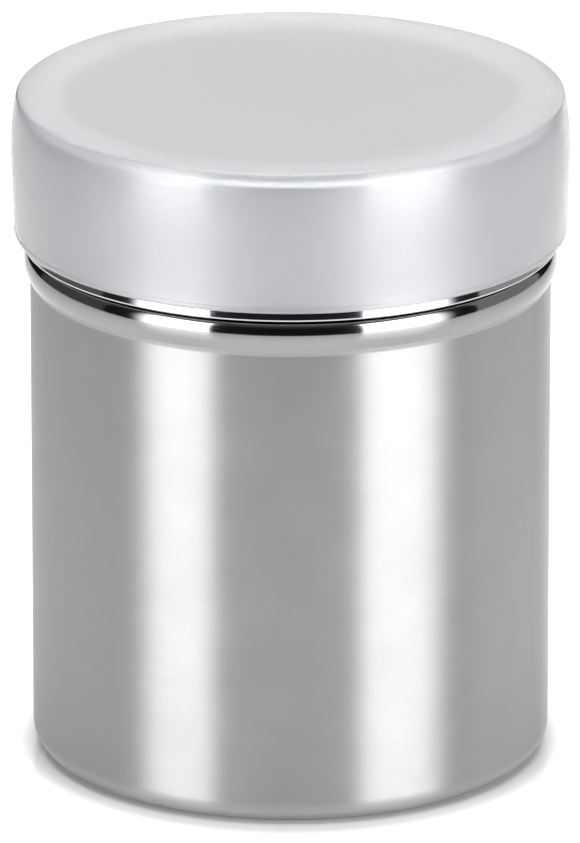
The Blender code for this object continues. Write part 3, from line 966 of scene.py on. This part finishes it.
class SHAKER_OT_cap(bpy.types.Operator):
    """Mould the frosted dust cap with its line of flash"""

    bl_idname = "shaker.make_cap"
    bl_label = "Dust Cap"

    def execute(self, context):
        shaker = context.scene.shaker
        sizes = shaker.cap
        low, high, radius = CAP_LOW.z, CAP_HIGH.z, CAP_HIGH.x
        mouth, lip, crease = radius - sizes.swell, sizes.wall / 2, sizes.crease
        inner_top, corner = high - sizes.top_thickness, sizes.inner_corner
        widest_z = high - sizes.shoulder_rise
        across = sizes.shoulder_inset / (1 - math.cos(sizes.shoulder_sweep))
        up = sizes.shoulder_rise / math.sin(sizes.shoulder_sweep)
        lean = math.atan2(across * math.sin(sizes.shoulder_sweep), up * math.cos(sizes.shoulder_sweep))
        sweep = math.asin((sizes.shoulder_rise - crease * (1 - math.sin(lean))) / up)
        crease_r = radius - across + across * math.cos(sweep) - crease * math.cos(lean)
        inner_mouth, inner_widest = mouth - sizes.wall, radius - sizes.wall
        corner_r, corner_z = inner_mouth - corner, inner_top - corner
        outline = [(0.0, inner_top)]
        outline += column((HUB, inner_top), (corner_r, inner_top), WALL_ROW, HOLD)
        outline += arc(corner_r, corner_z, corner, corner, QUARTER_TURN, 0, CORNER_STEPS)
        outline += column((inner_mouth, corner_z), (inner_widest, widest_z), CAP_ROW)
        outline += column((inner_widest, widest_z), (inner_mouth, low + lip), CAP_ROW)
        outline += arc(mouth - lip, low + lip, lip, lip, HALF_TURN, FULL_TURN, BEAD_STEPS)
        outline += column((mouth, low + lip), (radius, widest_z), CAP_ROW)
        outline += arc(radius - across, widest_z, across, up, 0, sweep, SHOULDER_STEPS)
        outline += arc(crease_r, high - crease, crease, crease, lean, QUARTER_TURN, BEND_STEPS)
        outline += column((crease_r, high), (HUB, high), WALL_ROW, HOLD)
        outline += [(0.0, high)]
        plastic = frosted_polypropylene(shaker.colours.plastic)
        mesh = turned_mesh("cap_moulding", [(ZONE_OUTSIDE, False, outline)], False)
        moulding = plain_piece("cap_moulding", mesh, plastic)
        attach(moulding, "cap")
        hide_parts("dust_cap")
        grown = (sizes.flash_height - lip) / (widest_z - low - lip)
        values = {
            "Ring radius": mouth + sizes.swell * grown,
            "Level": low + sizes.flash_height,
            "Stray": sizes.flash_wave,
            "Flash radius": sizes.flash_radius,
            "Plastic": plastic,
        }
        flash = grown_piece("cap_flash_line", bpy.data.meshes.new("flash"), mould_flash_tree(), values)
        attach(flash, "cap")
        return {"FINISHED"}


def add_lamp(name, place, width, height, radiance, fade=0.0):
    """A soft rectangular lamp that the camera can't see; unturned, it faces down.

    Its light fades over the share of its width that fade gives, at one side: the side of
    its own +X where fade is positive, and the other where it is negative.
    """
    lamp = bpy.data.lights.new(name, "AREA")
    lamp.shape = "RECTANGLE"
    lamp.size = width
    lamp.size_y = height
    lamp.energy = radiance * math.pi * width * height
    if fade:
        lamp.use_nodes = True
        tree = lamp.node_tree
        across = node(
            tree, "ShaderNodeSeparateXYZ", {0: node(tree, "ShaderNodeNewGeometry").outputs["Parametric"]}
        )
        near, far = (1 - fade, 1.0) if fade > 0 else (-fade, 0.0)
        strength = node(
            tree, "ShaderNodeMapRange",
            {"Value": across, "From Min": near, "From Max": far, "To Min": 1.0, "To Max": 0.0},
            interpolation_type="SMOOTHSTEP",
        )
        connect(tree, tree.nodes["Emission"], {"Strength": strength})
    item = linked(name, lamp)
    item.location = place
    item.visible_camera = False
    return item


def add_strip(stage, name, azimuth, width, radiance, fade):
    """A tall strip lamp or grey card that faces the shaker from one side."""
    place = (
        stage.strip_distance * math.sin(azimuth),
        -stage.strip_distance * math.cos(azimuth),
        (stage.strip_bottom + stage.strip_top) / 2,
    )
    lamp = add_lamp(name, place, width, stage.strip_top - stage.strip_bottom, radiance, fade)
    lamp.rotation_euler = (QUARTER_TURN, 0, azimuth)


def light_world(stage):
    """White backdrop for the camera, a dark room in front for steel, and a grey fill.

    Levels are heights on a unit sphere round the shaker. The backdrop's edges slant in
    between two of them, and the room grows lighter from the third up.
    """
    slant_start, slant_end, ceiling_start = 0.3, 0.65, 0.25
    edge_width = math.radians(6)
    world = bpy.data.worlds.new("studio")
    bpy.context.scene.world = world
    world.use_nodes = True
    world.cycles.sampling_method = "NONE"
    tree = world.node_tree
    direction = node(tree, "ShaderNodeTexCoord").outputs["Generated"]
    x, y, z = node(tree, "ShaderNodeSeparateXYZ", {0: direction}).outputs
    backwards = node(tree, "ShaderNodeMath", {0: y, 1: -1.0}, operation="MULTIPLY")
    bearing = node(tree, "ShaderNodeMath", {0: x, 1: backwards}, operation="ARCTAN2")
    turned = node(tree, "ShaderNodeMath", {0: bearing, 1: stage.room_turn}, operation="ADD")
    azimuth = node(tree, "ShaderNodeMath", {0: turned}, operation="ABSOLUTE")
    edge = node(
        tree, "ShaderNodeMapRange",
        {
            "Value": z, "From Min": slant_start, "From Max": slant_end,
            "To Min": stage.light_edge, "To Max": stage.upper_edge,
        },
        interpolation_type="SMOOTHSTEP",
    )
    beyond = node(tree, "ShaderNodeMath", {0: azimuth, 1: edge}, operation="SUBTRACT")
    front = node(
        tree, "ShaderNodeMapRange",
        {"Value": z, "From Min": ceiling_start, "To Min": stage.dark_room, "To Max": stage.ceiling},
        interpolation_type="SMOOTHSTEP",
    )
    room = node(
        tree, "ShaderNodeMapRange",
        {
            "Value": beyond, "From Min": -edge_width, "From Max": edge_width,
            "To Min": front, "To Max": 1.0,
        },
        interpolation_type="SMOOTHSTEP",
    )
    direct, shown = ray_kinds(tree)
    lit = node(tree, "ShaderNodeMix", {"Factor": shown, "A": stage.fill, "B": room})
    level = node(tree, "ShaderNodeMix", {"Factor": direct, "A": lit, "B": 1.0})
    connect(tree, tree.nodes["Background"], {"Color": (1.0, 1.0, 1.0, 1.0), "Strength": level})


class SHAKER_OT_stage(bpy.types.Operator):
    """Set up the pale table, the lamps, the grey cards, the backdrop and the camera"""

    bl_idname = "shaker.make_stage"
    bl_label = "Stage"

    def execute(self, context):
        shaker = context.scene.shaker
        stage = shaker.stage
        sides = 96
        rim = [
            (stage.floor_radius * math.cos(FULL_TURN * side / sides),
             stage.floor_radius * math.sin(FULL_TURN * side / sides), 0.0)
            for side in range(sides)
        ]
        mesh = bpy.data.meshes.new("table_top")
        mesh.from_pydata(rim, [], [range(sides)])
        mesh.materials.append(pale_table(shaker.colours.floor, stage))
        table = linked("table_top", mesh)
        fade, card, width = stage.strip_fade, stage.card_azimuth, stage.card_width
        for strip in (
            ("left_strip", stage.left_azimuth, stage.left_width, stage.left_radiance, -fade),
            ("right_strip", stage.right_azimuth, stage.right_width, stage.right_radiance, fade),
            ("left_card", -card, width, stage.left_card, 0.0),
            ("right_card", card, width, stage.right_card, 0.0),
        ):
            add_strip(stage, *strip)
        above = (0, -stage.top_forward, stage.top_height)
        soft_box = add_lamp("soft_box", above, stage.top_width, stage.top_depth, stage.top_radiance)
        soft_box.rotation_euler = (math.atan2(stage.top_forward, stage.top_height), 0, 0)
        light_world(stage)
        camera = bpy.data.cameras.new("camera")
        camera.sensor_width = SENSOR_MM
        camera.lens = stage.focal_pixels / PHOTO_HEIGHT * SENSOR_MM
        camera.clip_start = 0.01
        viewer = linked("camera", camera)
        viewer.location = (
            stage.aim_side,
            -stage.distance * math.cos(stage.elevation),
            stage.aim_height + stage.distance * math.sin(stage.elevation),
        )
        viewer.rotation_euler = (QUARTER_TURN - stage.elevation, 0, 0)
        context.scene.camera = viewer
        context.scene.view_settings.view_transform = "Standard"
        return {"FINISHED"}


class SHAKER_PT_panel(bpy.types.Panel):
    """Lists what the shaker is made of"""

    bl_idname = "SHAKER_PT_panel"
    bl_label = "Powder Shaker"
    bl_space_type = "VIEW_3D"
    bl_region_type = "UI"
    bl_category = "Shaker"

    def draw(self, context):
        for operator in OPERATORS:
            self.layout.operator(operator.bl_idname)
        for part in ShakerSettings.__annotations__:
            group = getattr(context.scene.shaker, part)
            box = self.layout.box()
            for name in group.__annotations__:
                box.prop(group, name)


GROUPS = (
    CanisterSizes, ThreadSizes, LidSizes, SieveSizes, CapSizes, FinishColours, StageSizes,
    ShakerSettings,
)
OPERATORS = (
    SHAKER_OT_canister, SHAKER_OT_lid, SHAKER_OT_sieve, SHAKER_OT_ring, SHAKER_OT_cap,
    SHAKER_OT_stage,
)


def register():
    """Register every class and the settings."""
    for item in GROUPS + OPERATORS + (SHAKER_PT_panel,):
        bpy.utils.register_class(item)
    bpy.types.Scene.shaker = PointerProperty(type=ShakerSettings)


def unregister():
    """Take the settings and every class back out."""
    del bpy.types.Scene.shaker
    for item in reversed(GROUPS + OPERATORS + (SHAKER_PT_panel,)):
        bpy.utils.unregister_class(item)


def main():
    """Make the shaker and its stage."""
    register()
    bpy.ops.shaker.make_canister()
    bpy.ops.shaker.make_lid()
    bpy.ops.shaker.make_sieve()
    bpy.ops.shaker.make_ring()
    bpy.ops.shaker.make_cap()
    bpy.ops.shaker.make_stage()


if __name__ == "__main__":
    main()
